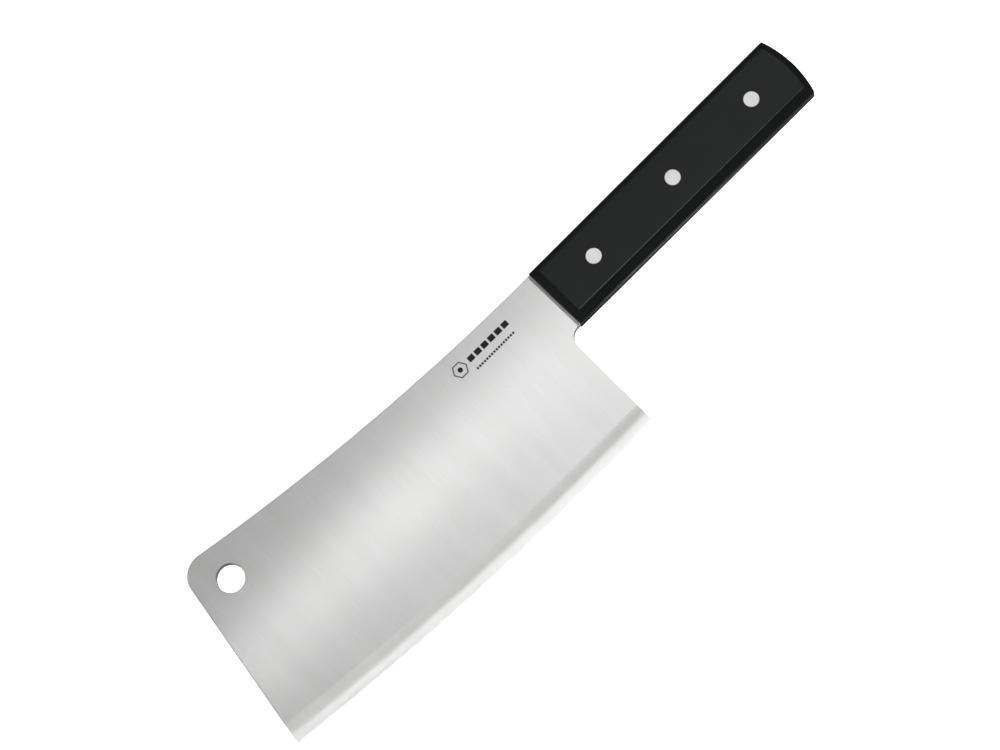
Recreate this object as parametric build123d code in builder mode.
from build123d import *
import math
import os

# Meat cleaver: blade and full tang in one steel plate, two moulded handle scales, and
# three two-piece compression rivets that clamp the scales onto the tang.
# Millimetres.  The cleaver lies on its right side: +X runs to the butt of the handle,
# +Y to the spine and +Z out of the left side.
# Origin: middle of the plan outline, on the bottom face of the right scale.

os.makedirs("parts", exist_ok=True)

# ---- plate: blade and tang ----
plate_thickness = 4.0
blade_length = 199.6  # front of the handle to the toe corner of the edge
blade_depth = 78.8  # top line of the handle down to the lowest point of the edge
edge_radius = 1350.0  # slight belly of the cutting edge
belly_setback = 35.2  # lowest point of the edge, ahead of the handle
toe_rise = 16.6  # climb of the spine from the handle to the toe
toe_lean = 14.6  # upper toe corner sits this much behind the lower one
toe_corner_radius = 10.0
heel_gap = 6.8  # heel ahead of the handle
heel_lean = 1.0  # heel runs forward by this much on its way to the edge
heel_notch_radius = 5.5
arris_radius = 0.3  # eased edges of the plate outside the handle

# ---- hanging hole in the upper toe corner ----
hole_diameter = 11.9
hole_setback = 12.8  # hole centre behind the upper toe corner
hole_drop = 18.0  # hole centre below the upper toe corner
hole_chamfer = 0.25

# ---- ground cutting edge ----
bevel_length = 9.4  # shoulder line to the edge
bevel_crown = 0.22  # bulge of the bevel out of a straight wedge
micro_length = 0.6  # small second bevel at the edge
micro_thickness = 0.7  # plate left where the second bevel starts
edge_thickness = 0.1  # width of the edge itself
grind_clearance = 2.0  # the grinding profile stands clear of the plate by this much
grind_overrun = 1.0  # degrees of travel past each end of the edge

# ---- handle ----
handle_length = 136.9  # front of the scales to the crown of the butt
handle_height_front = 29.4
handle_height_butt = 30.2
butt_crown = 2.4  # bulge of the rounded butt
scale_thickness = 6.2
facet_width = 3.3  # sloping facet around each scale, across its outer face
facet_depth = 4.2  # the same facet, through the thickness
facet_rounding = 0.4

# ---- rivets ----
rivet_count = 3
rivet_inset = 23.1  # outer rivets, from each end of the handle
rivet_head_diameter = 6.8
rivet_head_thickness = 1.5
rivet_head_chamfer = 0.15
rivet_barrel_diameter = 5.0
rivet_pin_diameter = 3.2
tang_hole_clearance = 0.1  # all round the barrel
barrel_end_gap = 0.4  # the barrel stops short of the pin's head
socket_floor = 1.5  # metal left under the socket, above the sleeve's head
pin_end_gap = 0.8  # the pin stops short of the bottom of the socket
lead_in = 0.35  # tapered pin tip and socket mouth

# ---- corners of the outline, from the top front corner of the handle ----
edge_centre = (-belly_setback, edge_radius - blade_depth)


def edge_point(x):
    """Point of the cutting edge at one station along the blade."""
    rise = math.sqrt(edge_radius**2 - (x - edge_centre[0]) ** 2)
    return (x, edge_centre[1] - rise)


def edge_bearing(point):
    """Direction of an edge point seen from the centre of the edge arc, in degrees."""
    return math.degrees(math.atan2(point[0] - edge_centre[0], edge_centre[1] - point[1]))


def handle_middle(x):
    """Point on the centre line of the handle, which widens slightly to the butt."""
    growth = (handle_height_butt - handle_height_front) * x / butt_x
    return (x, -(handle_height_front + growth) / 2)


toe_low = edge_point(-blade_length)
toe_high = (-blade_length + toe_lean, toe_rise)
heel_low = edge_point(-heel_gap - heel_lean)
heel_high = (-heel_gap, -handle_height_front)
tang_root_low = (0, -handle_height_front)
hole_centre = (toe_high[0] + hole_setback, toe_high[1] - hole_drop)

butt_x = handle_length - butt_crown
butt_high = (butt_x, 0)
butt_low = (butt_x, -handle_height_butt)
butt_top = (handle_length, -handle_height_butt / 2)

rivet_pitch = (handle_length - 2 * rivet_inset) / (rivet_count - 1)
rivet_points = [handle_middle(rivet_inset + i * rivet_pitch) for i in range(rivet_count)]
rivet_names = ["front", "middle", "rear"]

# ---- outlines in plan ----
with BuildSketch() as blade_outline:
    with BuildLine():
        TangentArc((0, 0), toe_high, tangent=(-1, 0))
        Line(toe_high, toe_low)
        RadiusArc(toe_low, heel_low, -edge_radius)
        Polyline(heel_low, heel_high, tang_root_low, (0, 0))
    make_face()
    fillet(blade_outline.vertices().sort_by_distance(toe_high)[0], toe_corner_radius)
    fillet(blade_outline.vertices().sort_by_distance(heel_high)[0], heel_notch_radius)

with BuildSketch() as handle_outline:
    with BuildLine():
        Line((0, 0), butt_high)
        ThreePointArc(butt_high, butt_top, butt_low)
        Polyline(butt_low, tang_root_low, (0, 0))
    make_face()

# ---- levels: the outline is centred on the origin, the right scale lies on z = 0 ----
blade_box = blade_outline.sketch.bounding_box()
middle_x = (blade_box.min.X + handle_length) / 2
middle_y = (blade_box.min.Y + blade_box.max.Y) / 2
handle_thickness = plate_thickness + 2 * scale_thickness
handle_base = Plane((-middle_x, -middle_y, 0))
plate_base = handle_base.offset(scale_thickness)
plate_middle = plate_base.offset(plate_thickness / 2)
plate_top = plate_base.offset(plate_thickness)
handle_top = handle_base.offset(handle_thickness)
handle_front_x = handle_base.origin.X

# ---- blade with its tang ----
edge_pivot = plate_middle.from_local_coords((*edge_centre, 0))
grind_start = edge_bearing(toe_low) - grind_overrun
grind_end = edge_bearing(heel_low) + grind_overrun
grind_plane = Plane(
    edge_pivot,
    x_dir=Vector(0, -1, 0).rotate(Axis.Z, grind_start),
    z_dir=Vector(-1, 0, 0).rotate(Axis.Z, grind_start),
)
shoulder = (edge_radius - bevel_length, plate_thickness / 2)
micro_shoulder = (edge_radius - micro_length, micro_thickness / 2)
edge_tip = (edge_radius, edge_thickness / 2)
grind_outer = edge_radius + grind_clearance
grind_upper = plate_thickness / 2 + grind_clearance

with BuildPart() as blade:
    with BuildSketch(plate_base):
        add(blade_outline.sketch)
    extrude(amount=plate_thickness)
    # The edges of the blade are eased; the joint with the tang stays square.
    arrises = blade.faces().filter_by(Axis.Z).edges()
    joint_edges = arrises.group_by(Axis.X)[-1]
    fillet(arrises - joint_edges, arris_radius)
    # The tang is the same plate, cut flush with the scales and drilled for the rivets.
    with BuildSketch(plate_base):
        add(handle_outline.sketch)
        fillet(handle_outline.vertices().group_by(Axis.X)[-1], facet_rounding)
        with Locations(*rivet_points):
            Circle(rivet_barrel_diameter / 2 + tang_hole_clearance, mode=Mode.SUBTRACT)
    extrude(amount=plate_thickness)
    # Both sides are ground along the arc of the edge: a crowned bevel, then a small second one.
    with BuildSketch(grind_plane):
        with BuildLine():
            SagittaArc(micro_shoulder, shoulder, -bevel_crown)
            Polyline(
                shoulder,
                (shoulder[0], grind_upper),
                (grind_outer, grind_upper),
                (grind_outer, edge_tip[1]),
                edge_tip,
                micro_shoulder,
            )
        make_face()
        mirror(about=Plane.XZ)
    revolve(
        axis=Axis(edge_pivot, (0, 0, 1)),
        revolution_arc=grind_end - grind_start,
        mode=Mode.SUBTRACT,
    )
    with BuildSketch(plate_base):
        with Locations(hole_centre):
            Circle(hole_diameter / 2)
    extrude(amount=plate_thickness, mode=Mode.SUBTRACT)
    hole_edges = blade.edges().filter_by(GeomType.CIRCLE)
    hole_edges = hole_edges.filter_by(lambda rim: math.isclose(rim.radius, hole_diameter / 2))
    chamfer(hole_edges, hole_chamfer)

blade.part.label = "blade"
export_step(blade.part, "parts/blade.step")

# ---- handle scales: the same moulding on both sides of the tang ----
with BuildPart() as left_scale:
    with BuildSketch(plate_top):
        add(handle_outline.sketch)
    extrude(amount=scale_thickness)
    outer_face = left_scale.faces().sort_by(Axis.Z)[-1]
    chamfer(outer_face.edges(), facet_width, facet_depth, reference=outer_face)
    # Every edge is rounded a little, except the ones that meet the tang and the blade.
    moulded_edges = left_scale.edges() - left_scale.edges().group_by(Axis.Z)[0]
    front_corners = moulded_edges.filter_by(Axis.Z).group_by(Axis.X)[0]
    fillet(moulded_edges - front_corners, facet_rounding)
    with BuildSketch(plate_top):
        with Locations(*rivet_points):
            Circle(rivet_barrel_diameter / 2)
    extrude(amount=scale_thickness, mode=Mode.SUBTRACT)
    with BuildSketch(handle_top):
        with Locations(*rivet_points):
            Circle(rivet_head_diameter / 2)
    extrude(amount=-rivet_head_thickness, mode=Mode.SUBTRACT)

with BuildPart() as right_scale:
    mirror(left_scale.part, about=plate_middle)

left_scale.part.label = "left_scale"
export_step(left_scale.part, "parts/left_scale.step")
right_scale.part.label = "right_scale"
export_step(right_scale.part, "parts/right_scale.step")

# ---- compression rivets: a sleeve from the right side, a pin pressed into it from the left ----
barrel_base = handle_base.offset(rivet_head_thickness)
barrel_length = handle_thickness - 2 * rivet_head_thickness - barrel_end_gap
socket_base = barrel_base.offset(socket_floor)
pin_base = socket_base.offset(pin_end_gap)
pin_length = handle_thickness - rivet_head_thickness - pin_base.origin.Z

for name, point in zip(rivet_names, rivet_points):
    with BuildPart() as sleeve:
        with BuildSketch(handle_base):
            with Locations(point):
                Circle(rivet_head_diameter / 2)
        extrude(amount=rivet_head_thickness)
        chamfer(sleeve.edges().group_by(Axis.Z)[0], rivet_head_chamfer)
        with BuildSketch(barrel_base):
            with Locations(point):
                Circle(rivet_barrel_diameter / 2)
        extrude(amount=barrel_length)
        with BuildSketch(socket_base):
            with Locations(point):
                Circle(rivet_pin_diameter / 2)
        extrude(amount=barrel_length, mode=Mode.SUBTRACT)
        chamfer(sleeve.edges().group_by(Axis.Z)[-1].sort_by(SortBy.RADIUS)[0], lead_in)

    with BuildPart() as pin:
        with BuildSketch(pin_base):
            with Locations(point):
                Circle(rivet_pin_diameter / 2)
        extrude(amount=pin_length)
        chamfer(pin.edges().group_by(Axis.Z)[0], lead_in)
        with BuildSketch(handle_top):
            with Locations(point):
                Circle(rivet_head_diameter / 2)
        extrude(amount=-rivet_head_thickness)
        chamfer(pin.edges().group_by(Axis.Z)[-1], rivet_head_chamfer)

    sleeve.part.label = f"{name}_rivet_sleeve"
    export_step(sleeve.part, f"parts/{name}_rivet_sleeve.step")
    pin.part.label = f"{name}_rivet_pin"
    export_step(pin.part, f"parts/{name}_rivet_pin.step")
